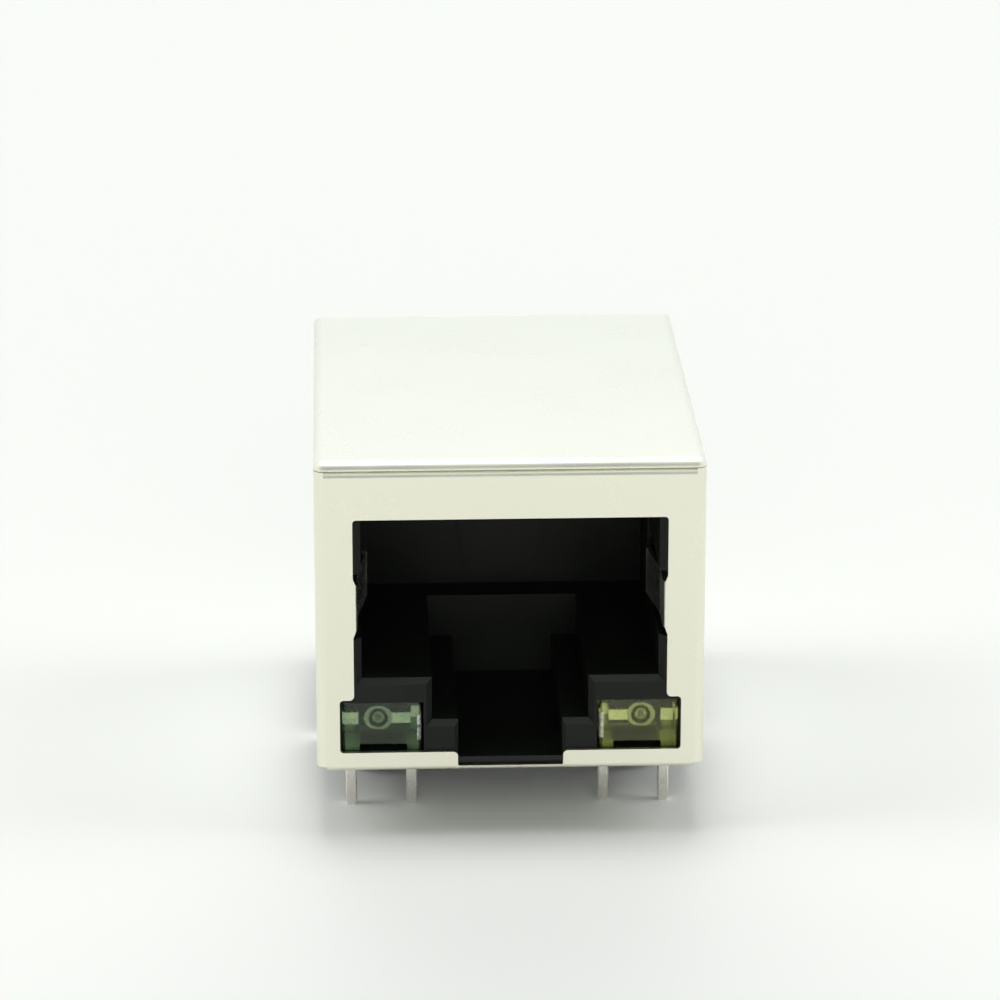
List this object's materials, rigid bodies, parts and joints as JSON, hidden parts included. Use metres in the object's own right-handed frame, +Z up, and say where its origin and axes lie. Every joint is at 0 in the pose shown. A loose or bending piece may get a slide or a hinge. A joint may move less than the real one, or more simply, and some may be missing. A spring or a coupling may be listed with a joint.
{
  "type": "modular board jack",
  "caption": "Shielded board-mount jack for an eight-way modular plug, latch side down, with a green and a yellow indicator below the opening and solder pins underneath.",
  "frame": {"origin": "on the circuit board's top face, midway between the two locating pegs", "axes": "+X to the right seen from the plug's side, +Y away from the plug, +Z up from the board"},
  "size_m": [0.016, 0.0213, 0.0163],
  "materials": {
    "shield": "nickel-plated sheet, satin",
    "housing_plastic": "moulded, fine matt",
    "insert_plastic": "moulded, satin",
    "gold_wire": "gold-plated, bright",
    "tinned_lead": "tin-plated, satin",
    "green_lens": "clear tinted epoxy",
    "yellow_lens": "clear tinted epoxy",
    "chip": "semiconductor chip",
    "board_laminate": "solder resist, satin",
    "ferrite": "sintered ferrite, matt",
    "copper_wire": "enamelled copper",
    "resistor_body": "thick-film chip with tinned ends",
    "capacitor_body": "ceramic chip with tinned ends"
  },
  "bodies": {
    "root": {"front_shield": "shield", "top_cover": "shield", "housing": "housing_plastic", "contact_insert": "insert_plastic", "inner_board": "board_laminate", "pin_base": "insert_plastic", "magnetics_case": "insert_plastic", "contact_1": "gold_wire", "contact_2": "gold_wire", "contact_3": "gold_wire", "contact_4": "gold_wire", "contact_5": "gold_wire", "contact_6": "gold_wire", "contact_7": "gold_wire", "contact_8": "gold_wire", "board_pin_1": "tinned_lead", "board_pin_2": "tinned_lead", "board_pin_3": "tinned_lead", "board_pin_4": "tinned_lead", "board_pin_5": "tinned_lead", "board_pin_6": "tinned_lead", "board_pin_7": "tinned_lead", "board_pin_8": "tinned_lead", "indicator_left_lens": "green_lens", "indicator_right_lens": "yellow_lens", "indicator_left_cup_lead": "tinned_lead", "indicator_left_post_lead": "tinned_lead", "indicator_left_chip": "chip", "indicator_right_cup_lead": "tinned_lead", "indicator_right_post_lead": "tinned_lead", "indicator_right_chip": "chip", "transformer_left_core": "ferrite", "transformer_left_winding": "copper_wire", "transformer_right_core": "ferrite", "transformer_right_winding": "copper_wire", "choke_left_core": "ferrite", "choke_left_winding": "copper_wire", "choke_right_core": "ferrite", "choke_right_winding": "copper_wire", "resistor_1": "resistor_body", "resistor_2": "resistor_body", "resistor_3": "resistor_body", "resistor_4": "resistor_body", "surge_capacitor": "capacitor_body"}
  },
  "joints": []
}
